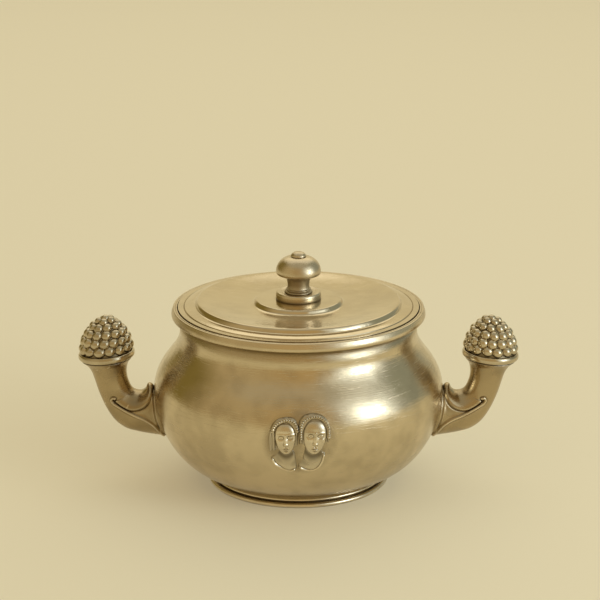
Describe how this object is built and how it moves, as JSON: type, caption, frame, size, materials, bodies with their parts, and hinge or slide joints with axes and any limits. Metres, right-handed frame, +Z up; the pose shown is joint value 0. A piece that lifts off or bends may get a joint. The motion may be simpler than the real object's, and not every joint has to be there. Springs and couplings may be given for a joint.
{
  "type": "lidded urn",
  "caption": "Round-bellied pewter urn on a foot ring with a lift-off lid, a turned knob and horn handles that end in berry finials.",
  "frame": {"origin": "on the table, on the axis of the bowl", "axes": "+Z up along the axis of the bowl and lid, +X towards the right handle, -Y is the front, where the relief is"},
  "size_m": [0.2862, 0.1914, 0.1534],
  "materials": {
    "pewter": "satin pewter, fine turning lines and soft wear",
    "cast_pewter": "cast pewter, brighter on the high points and dark in the hollows"
  },
  "bodies": {
    "pot": {"bowl": "pewter", "rim_band": "pewter", "foot_ring": "pewter", "left_bust_relief": "cast_pewter", "right_bust_relief": "cast_pewter", "right_handle_horn": "pewter", "right_leaf_sheath": "pewter", "right_saucer": "pewter", "right_berry_finial": "cast_pewter", "right_finial_stud": "cast_pewter", "left_handle_horn": "pewter", "left_leaf_sheath": "pewter", "left_saucer": "pewter", "left_berry_finial": "cast_pewter", "left_finial_stud": "cast_pewter"},
    "lid": {"lid_plate": "pewter", "lid_flange": "pewter", "knob_base": "pewter", "knob_spool": "pewter", "knob_cap": "pewter", "knob_screw": "pewter", "knob_washer": "cast_pewter", "knob_nut": "cast_pewter"}
  },
  "joints": [
    {"name": "lid_lift", "type": "slide", "parent": "pot", "child": "lid", "axis": [0, 0, 1], "range_m": [0, 0.15]}
  ]
}
